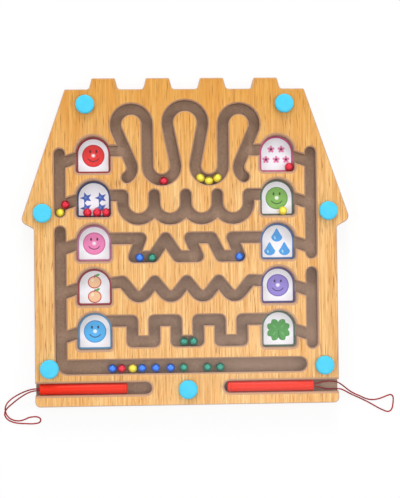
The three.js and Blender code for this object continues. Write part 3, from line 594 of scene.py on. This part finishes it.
# %% Card in the making
class Picture:
    """A card in the making: its bmesh, and the inks on it."""

    def __init__(self, x, bottom):
        self.shape = bmesh.new()
        self.inks = []
        self.centre = Vector((x, bottom, 0))

    def slot(self, code):
        """The place of an ink among the card's materials."""
        if code not in self.inks:
            self.inks.append(code)
        return self.inks.index(code)

    def thicken(self, face, height):
        """Extrudes a flat face straight up and gives back the new top face."""
        grown = bmesh.ops.extrude_face_region(self.shape, geom=[face], use_keep_orig=True)["geom"]
        points = [part for part in grown if isinstance(part, bmesh.types.BMVert)]
        bmesh.ops.translate(self.shape, vec=(0, 0, height), verts=points)
        return [part for part in grown if isinstance(part, bmesh.types.BMFace)][0]

    def card(self, paper, border):
        """The arched card with its coloured border."""
        shape = self.shape
        bmesh.ops.create_circle(shape, cap_ends=True, segments=ARCH_POINTS, radius=CARD_HALF_WIDTH)
        bmesh.ops.bisect_plane(
            shape, geom=shape.verts[:] + shape.edges[:] + shape.faces[:], plane_co=(0, 0, 0),
            plane_no=(0, -1, 0), clear_outer=True,
        )
        bmesh.ops.remove_doubles(shape, verts=shape.verts, dist=WELD)
        base = [edge for edge in shape.edges if all(abs(v.co.y) < WELD for v in edge.verts)]
        grown = bmesh.ops.extrude_edge_only(shape, edges=base)["geom"]
        feet = [part for part in grown if isinstance(part, bmesh.types.BMVert)]
        bmesh.ops.translate(shape, vec=(0, -CARD_STRAIGHT, 0), verts=feet)
        bmesh.ops.dissolve_edges(shape, edges=base, use_verts=False)
        corners = [v for v in shape.verts if v.co.y < -CARD_STRAIGHT + WELD]
        bmesh.ops.bevel(
            shape, geom=corners, offset=CARD_CORNER, segments=CORNER_STEPS, profile=0.5,
            affect="VERTICES", material=-1,
        )
        rise = self.centre + Vector((0, CARD_LIFT + CARD_STRAIGHT, CARD_BOTTOM))
        bmesh.ops.translate(shape, vec=rise, verts=shape.verts)
        bmesh.ops.recalc_face_normals(shape, faces=shape.faces)
        sheet = shape.faces[:][0]
        if sheet.normal.z < 0:
            sheet.normal_flip()
        sheet.material_index = self.slot(paper)
        top = self.thicken(sheet, CARD_THICKNESS)
        ring = bmesh.ops.inset_region(shape, faces=[top], thickness=BORDER, use_even_offset=True)["faces"]
        for face in ring:
            face.material_index = self.slot(border)

    def patch(self, code, x, y, half_width, half_height, layer=1, points=32, reshape=None, turned=0):
        """A patch of ink, its middle given in millimetres from the middle of the card's bottom edge."""
        shape = self.shape
        verts = bmesh.ops.create_circle(shape, cap_ends=True, segments=points, radius=1)["verts"]
        if reshape:
            for number, vertex in enumerate(verts):
                vertex.co.x, vertex.co.y = reshape(number, vertex.co.x, vertex.co.y)
        level = CARD_BOTTOM + CARD_THICKNESS + (layer - 1) * INK
        place = (
            Matrix.Translation(self.centre + Vector((x * MM, y * MM, level)))
            @ Matrix.Rotation(math.radians(turned), 4, "Z")
            @ Matrix.Diagonal((half_width * MM, half_height * MM, 1, 1))
        )
        bmesh.ops.transform(shape, matrix=place, verts=verts)
        face = verts[0].link_faces[0]
        face.material_index = self.slot(code)
        self.thicken(face, INK)

    def stroke(self, code, x, y, radius, width, start, end, layer=2):
        """A curved stroke of ink: a short edge spun about a middle, in millimetres and degrees."""
        shape = self.shape
        middle = self.centre + Vector((x * MM, y * MM, CARD_BOTTOM + CARD_THICKNESS + layer * INK))
        angle = math.radians(start)
        out = Vector((math.cos(angle), math.sin(angle), 0))
        ends = [shape.verts.new(middle + out * (radius + s * width / 2) * MM) for s in (-1, 1)]
        edge = shape.edges.new(ends)
        before = set(shape.faces)
        bmesh.ops.spin(
            shape, geom=ends + [edge], cent=middle, axis=(0, 0, 1), angle=math.radians(end - start),
            steps=STROKE_STEPS, use_merge=False, use_duplicate=False,
        )
        faces = [face for face in shape.faces if face not in before]
        for face in faces:
            face.material_index = self.slot(code)
        bmesh.ops.solidify(shape, geom=faces, thickness=INK)


print("The card and its patches and strokes of ink are ready")

# %% Motifs
INK_WHITE = "F8F8FF"
# Places and sizes in the pictures are in millimetres from the middle of the card's bottom edge, and
# angles in degrees.
FACE_MIDDLE = 16.5
FACE_RADIUS = 9.5
FACE_RIM = 0.9
FACE_POINTS = 56
EYE_ASIDE = 2.9
EYE_RISE = 4.0
SMILE_RADIUS = 6.0
SMILE_WIDTH = 0.8
SMILE_ANGLES = (212, 328)
STAR_PLACES = [(-7, 18.2), (6.6, 18.2), (-7, 8.6), (6.6, 8.6)]
STAR_POINTS = 5
STAR_WAIST = 0.44
ORANGE_RISES = [21.4, 8.0]
FLOWER_PLACES = [(-4.8, 21.4), (4.8, 21.4), (-9.6, 11.8), (0, 11.8), (9.2, 11.8)]
PETALS = 5
PETAL_REACH = 1.9
DROP_PLACES = [(-0.4, 21), (-7.2, 8.2), (6.6, 8.2)]
CLOVER_MIDDLE = 15.7
LEAVES = 4
LEAF_ACROSS = 6.6
LEAF_UP = 5.8
# A leaf's vein lies at this share of the leaf's own distance from the clover's middle.
VEIN_PLACE = 0.8


def star(number, x, y):
    """Draws every second point of a ring inwards."""
    reach = STAR_WAIST if number % 2 else 1
    return x * reach, y * reach


def drop(number, x, y):
    """Draws the top of a ring up into a point."""
    lift = max(y, 0)
    return x * (1 - 0.62 * lift), y + 0.75 * lift ** 2


def heart(number, x, y):
    """Dents the top of a ring and draws its bottom to a point."""
    dent = 0.42 * max(0, 1 - abs(x) / 0.45) * max(y, 0)
    return x * (1 + 0.12 * y), y - dent - 0.18 * max(-y, 0) ** 3


def smiling_face(picture, edge, code, glow, line):
    """A round face: a disc with a deeper edge, a soft shine for a nose, two eyes and a smile."""
    outside = FACE_RADIUS + FACE_RIM
    picture.patch(edge, 0, FACE_MIDDLE, outside, outside, points=FACE_POINTS)
    picture.patch(code, 0, FACE_MIDDLE, FACE_RADIUS, FACE_RADIUS, layer=2, points=FACE_POINTS)
    picture.patch(glow, 0, FACE_MIDDLE + 0.2, 2.0, 1.9, layer=3, points=24)
    picture.patch(INK_WHITE, 0, FACE_MIDDLE + 0.3, 1.1, 1.0, layer=4, points=20)
    for side in (-1, 1):
        picture.patch(line, side * EYE_ASIDE, FACE_MIDDLE + EYE_RISE, 0.9, 1.5, layer=3, points=20)
    picture.stroke(line, 0, FACE_MIDDLE + 0.8, SMILE_RADIUS, SMILE_WIDTH, *SMILE_ANGLES, layer=3)


def stars(picture):
    """Four blue stars, two over two."""
    for x, y in STAR_PLACES:
        picture.patch("3B5CB4", x, y, 5.9, 5.5, points=2 * STAR_POINTS, reshape=star, turned=18)
        picture.patch("5F7FD0", x - 0.4, y + 0.5, 1.2, 1.2, layer=2, points=16)


def oranges(picture):
    """Two oranges, one over the other, each drawn with a red line and with a leaf on its stem."""
    for y in ORANGE_RISES:
        picture.patch("C23A36", 0, y, 6.3, 5.8, points=40)
        picture.patch("F6C69A", 0, y, 5.4, 4.9, layer=2, points=40)
        picture.patch("FBE3C8", -2.0, y + 1.8, 1.2, 1.7, layer=3, points=16, turned=-30)
        picture.patch("9A3A30", 0.1, y + 5.6, 0.5, 1.5, layer=3, points=12, turned=-12)
        picture.patch("5DA24A", 2.5, y + 6.4, 2.4, 1.1, layer=3, points=20, turned=24)


def flowers(picture):
    """Five small pink flowers, two over three."""
    for x, y in FLOWER_PLACES:
        for petal in range(PETALS):
            turned = 90 + 360 / PETALS * petal
            across = PETAL_REACH * math.cos(math.radians(turned))
            up = PETAL_REACH * math.sin(math.radians(turned))
            picture.patch(
                "EC86B4", x + across, y + up, 1.6, 1.25, layer=1 + petal % 2, points=20, turned=turned,
            )
        picture.patch("5E2440", x, y, 1.15, 1.15, layer=3, points=20)


def drops(picture):
    """Three light blue drops, one over two."""
    for x, y in DROP_PLACES:
        picture.patch("419FEA", x, y, 5.2, 4.5, points=40, reshape=drop)
        picture.patch("9CD6FA", x - 1.7, y - 0.8, 0.8, 1.6, layer=2, points=16, turned=16)


def clover(picture):
    """One green four-leaved clover with a stem."""
    for leaf in range(LEAVES):
        angle = 45 + 360 / LEAVES * leaf
        across = LEAF_ACROSS * math.cos(math.radians(angle))
        up = LEAF_UP * math.sin(math.radians(angle))
        picture.patch(
            "459A40", across, CLOVER_MIDDLE + up, 5.8, 5.3, layer=1 + leaf % 2, points=40, reshape=heart,
            turned=angle - 90,
        )
        picture.patch(
            "6DB868", VEIN_PLACE * across, CLOVER_MIDDLE + VEIN_PLACE * up, 0.4, 2.2, layer=3, points=12,
            turned=angle - 90,
        )
    picture.stroke("357A34", 8.2, 12.6, 8, 1.2, 160, 222, layer=3)


print("The motifs are ready")

# %% Printed cards
# Each card's border and drawing, and the colours of a face: its edge, its disc, its shine and its lines.
PICTURES = [
    ("A8283C", smiling_face, ("C81E28", "E8292A", "F3A9A4", "5A0812")),
    ("3A4A78", stars, ()),
    ("C77FA6", smiling_face, ("D765A2", "F083BA", "F8CADF", "5E0E38")),
    ("A33B45", oranges, ()),
    ("5C9CCB", smiling_face, ("3596DC", "4CB6F8", "C9EAFB", "0A3260")),
    ("D0568E", flowers, ()),
    ("5B6B5C", smiling_face, ("63993F", "7FB650", "DCEFC6", "163A0E")),
    ("4677B8", drops, ()),
    ("5A4B8E", smiling_face, ("6F5BB8", "9280D6", "DDD3F5", "221452")),
    ("4F6F5C", clover, ()),
]
for number, (border, draw, codes) in enumerate(PICTURES, 1):
    column, row = divmod(number - 1, WELL_ROWS)
    picture = Picture((2 * column - 1) * WELL_X, TOP_WELL_BOTTOM - row * WELL_PITCH)
    picture.card(INK_WHITE, border)
    draw(picture, *codes)
    finish_piece(
        f"picture_card_{number}", picture.shape, [ink(code) for code in picture.inks], "board",
        [f"picture_tile_{number}"],
    )

print("Printed", len(PICTURES), "cards with", len(inks), "inks")

# %% [markdown]
# Balls
#
# The balls are 8 mm steel balls in thin coloured lacquer, so the metal shines through: each has a bright
# middle under the soft light and dark flanks that mirror the lane's walls. Lacquer on a small ball is never
# quite even, so a slight orange-peel is pressed into it and the colour thins a little in places.

# %% Ball lacquers
# Two shades of each lacquer, and how much of the steel's shine comes through it.
BALL_COLOURS = {
    "red": ("D01832", "E62C48", 0.5),
    "yellow": ("FBE628", "FFF25A", 0.15),
    "blue": ("2E70F0", "4088FF", 0.5),
    "green": ("248670", "36A088", 0.5),
}
ball_paints = {}
for name, (deep, thin, shine) in BALL_COLOURS.items():
    material, tree, shader = new_material(f"{name}_lacquer_on_steel", roughness=0.36, metallic=shine)
    cloud = speckle(tree, (2.5 * MM, 2.5 * MM, 2.5 * MM), 2)
    tree.links.new(blend(tree, cloud, colour(deep), colour(thin)), shader.inputs["Base Color"])
    peel = speckle(tree, (0.6 * MM, 0.6 * MM, 0.6 * MM), 1)
    roughen(tree, shader, peel, 0.003 * MM)
    ball_paints[name] = material

print("There are", len(ball_paints), "lacquers")

# %% Balls
BALL_RADIUS = 4 * MM
BALL_FINENESS = 4

ball_count = 0
for node in sorted(cad_nodes):
    if "_ball_" not in node:
        continue
    name = node.split("_")[0]
    low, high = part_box(node)
    shape = bmesh.new()
    bmesh.ops.create_icosphere(shape, subdivisions=BALL_FINENESS, radius=BALL_RADIUS)
    bmesh.ops.translate(shape, vec=(Vector(low) + Vector(high)) / 2, verts=shape.verts)
    finish_piece(f"steel_{node}", shape, [ball_paints[name]], node, [node])
    ball_count += 1

print("Painted", ball_count, "balls")

# %% [markdown]
# Wands
#
# Each wand is a moulded red rod with a magnet in its inner end, closed by a glued tip cap, and a hole in
# its outer end for the cord. Rod and cap are turned like the rivets, then laid along the slot. The fine
# step between them and the rounded ends are what show that it is not a plain stick.

# %% Wand finishes
# Moulded red plastic: warm orange red with a satin gloss and faint flow marks along the rod.
red_plastic, tree, shader = new_material("red_moulded_plastic", roughness=0.34, specular_ior_level=0.15)
flow = speckle(tree, (24 * MM, 3 * MM, 3 * MM), 2)
tree.links.new(blend(tree, flow, colour("F02000"), colour("F83008")), shader.inputs["Base Color"])
skin = speckle(tree, (0.7 * MM, 0.7 * MM, 0.7 * MM), 2)
roughen(tree, shader, skin, 0.01 * MM)

# Nickel-plated magnet: bright warm grey metal with fine turning marks.
nickel, tree, shader = new_material("nickel_plated_magnet", roughness=0.3, metallic=1.0)
marks = speckle(tree, (0.3 * MM, 6 * MM, 6 * MM), 2)
tree.links.new(blend(tree, marks, colour("A8A49C"), colour("C6C2BA")), shader.inputs["Base Color"])

print("The wands have two finishes")

# %% Wands
WAND_RADIUS = 5 * MM
WAND_LENGTH = 80 * MM
WAND_AXIS = (-135 * MM, 8.7 * MM)
WAND_OUTER_ENDS = {"left": -136 * MM, "right": 116.5 * MM}
ROD_END = 76.8 * MM
ROD_ROUND = 0.6 * MM
BORE_FLOOR = 66.4 * MM
MAGNET_BORE = 3.2 * MM
CAP_START = 77 * MM
TIP_ROUND = 1.6 * MM
SPIGOT_RADIUS = 2.9 * MM
SPIGOT_START = 74.8 * MM
CORD_HOLE_RADIUS = 1.8 * MM
CORD_HOLE_DEPTH = 6.5 * MM
JOIN_ROUND = 0.15 * MM
JOIN_STEPS = 3

rod_profile = [
    (0, CORD_HOLE_DEPTH),
    (CORD_HOLE_RADIUS, CORD_HOLE_DEPTH),
    (CORD_HOLE_RADIUS, ROD_ROUND / 2),
    (CORD_HOLE_RADIUS + ROD_ROUND / 2, 0),
    *arc((WAND_RADIUS - ROD_ROUND, ROD_ROUND), ROD_ROUND, -90, 0, ARC_STEPS),
    *arc((WAND_RADIUS - JOIN_ROUND, ROD_END - JOIN_ROUND), JOIN_ROUND, 0, 90, JOIN_STEPS),
    (MAGNET_BORE, ROD_END),
    (MAGNET_BORE, BORE_FLOOR),
    (0, BORE_FLOOR),
]
tip_profile = [
    (0, SPIGOT_START),
    (SPIGOT_RADIUS, SPIGOT_START),
    (SPIGOT_RADIUS, CAP_START),
    *arc((WAND_RADIUS - JOIN_ROUND, CAP_START + JOIN_ROUND), JOIN_ROUND, -90, 0, JOIN_STEPS),
    *arc((WAND_RADIUS - TIP_ROUND, WAND_LENGTH - TIP_ROUND), TIP_ROUND, 0, 90, ARC_STEPS),
    (0, WAND_LENGTH),
]
for side, outer_end in WAND_OUTER_ENDS.items():
    inwards = 1 if side == "left" else -1
    lay = Matrix.Translation((outer_end, *WAND_AXIS)) @ Matrix.Rotation(inwards * math.pi / 2, 4, "Y")
    for name, profile in (("rod", rod_profile), ("tip", tip_profile)):
        shape = turn(profile, TURN_STEPS)
        bmesh.ops.transform(shape, matrix=lay, verts=shape.verts)
        finish_piece(
            f"{side}_red_{name}", shape, [red_plastic], f"{side}_wand",
            [f"{side}_wand_{name}"],
        )
    magnet = cad_nodes[f"{side}_wand_magnet"]
    magnet.data.materials.clear()
    magnet.data.materials.append(nickel)

print("Laid the wands in their slots")

# %% [markdown]
# Studio
#
# The photograph is a cut-out on white. A pale floor under soft lights gives that, with a thin shadow left
# under the edge. One wide lamp hangs over the lower right of the board: it puts the round highlight on each
# glossy ball, and its mirror image lays a faint sheen on that part of the wood, as in the photograph; a
# painted sheen in the wood's colour and a painted reflection in the cover's colour add to it. Two lamps
# stand to the left and right, so the long lanes across the board are lit along their length and the upright
# ones lie a little darker. A low lamp behind the battlements brightens the lower edge of each lane and well
# and leaves a soft shadow under the upper one. An even white sky fills the rest.

# %% Floor
FLOOR_SIZE = 30
FLOOR_DROP = 0.1 * MM
# The share of its white that the floor gives by itself.
FLOOR_GLOW = 0.85


def background_rays(tree):
    """1 for the rays that show the background: straight from the camera, in gloss, or through glass."""
    rays = add_node(tree, "ShaderNodeLightPath").outputs
    pair = {0: rays["Is Camera Ray"], 1: rays["Is Glossy Ray"]}
    either = add_node(tree, "ShaderNodeMath", pair, operation="MAXIMUM").outputs["Value"]
    pair = {0: either, 1: rays["Is Transmission Ray"]}
    return add_node(tree, "ShaderNodeMath", pair, operation="MAXIMUM").outputs["Value"]


floor_shape = bmesh.new()
bmesh.ops.create_grid(floor_shape, x_segments=1, y_segments=1, size=FLOOR_SIZE / 2)
bmesh.ops.translate(floor_shape, vec=(0, 0, -FLOOR_DROP), verts=floor_shape.verts)
floor_mesh = bpy.data.meshes.new("floor")
floor_shape.to_mesh(floor_mesh)
floor_shape.free()
floor = bpy.data.objects.new("floor", floor_mesh)
bpy.context.scene.collection.objects.link(floor)

# Matt white floor: it is seen partly lit by itself, so it is white but keeps a shadow.
white_floor, tree, shader = new_material("matt_white_floor", roughness=0.9, specular_ior_level=0.1)
paper = speckle(tree, (0.2, 0.2, 0.2), 1)
tree.links.new(blend(tree, paper, colour("F4F4F4"), colour("F8F8F8")), shader.inputs["Base Color"])
white = {"Color": colour("FFFFFF"), "Strength": 1.0}
glow = add_node(tree, "ShaderNodeEmission", white).outputs["Emission"]
seen = {0: background_rays(tree), 1: FLOOR_GLOW}
share = add_node(tree, "ShaderNodeMath", seen, operation="MULTIPLY").outputs["Value"]
lit_and_glowing = {0: share, 1: shader.outputs["BSDF"], 2: glow}
surface = add_node(tree, "ShaderNodeMixShader", lit_and_glowing).outputs["Shader"]
tree.links.new(surface, tree.nodes["Material Output"].inputs["Surface"])
floor_mesh.materials.append(white_floor)

floor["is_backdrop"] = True

print("The floor is", FLOOR_SIZE, "m wide")

# %% Lamps and sky
SKY_STRENGTH = 0.47
# The place, diameter and power of each lamp, in metres and watts.
LAMPS = {
    "left_lamp": (Vector((-1.6, 0.2, 1.6)), 1.2, 10),
    "right_lamp": (Vector((1.6, 0.2, 1.6)), 1.2, 8),
    "back_lamp": (Vector((0, 2.5, 1.4)), 1.0, 34),
    "overhead_lamp": (Vector((0.25, -0.4, 1.8)), 1.2, 9),
}

for name, (place, diameter, power) in LAMPS.items():
    lamp_data = bpy.data.lights.new(name, "AREA")
    lamp_data.shape = "DISK"
    lamp_data.size = diameter
    lamp_data.energy = power
    lamp = bpy.data.objects.new(name, lamp_data)
    lamp.location = place
    lamp.rotation_euler = (-place).to_track_quat("-Z", "Y").to_euler()
    bpy.context.scene.collection.objects.link(lamp)

world = bpy.data.worlds.new("studio")
world.use_nodes = True
sky_tree = world.node_tree
sky = sky_tree.nodes["Background"]
sky.inputs["Color"].default_value = colour("FFFFFF")
strength = {"Value": background_rays(sky_tree), "To Min": SKY_STRENGTH, "To Max": 1.0}
level = add_node(sky_tree, "ShaderNodeMapRange", strength).outputs["Result"]
sky_tree.links.new(level, sky.inputs["Strength"])
bpy.context.scene.world = world
bpy.context.scene.view_settings.view_transform = "Standard"

print("There are", len(LAMPS), "lamps, and the sky has a strength of", SKY_STRENGTH)

# %% [markdown]
# Sizes
#
# The box that the finished pieces fill is measured and printed.

# %% Measure and finish
low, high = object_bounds()

print("The finished object spans", [round(v, 4) for v in high - low])
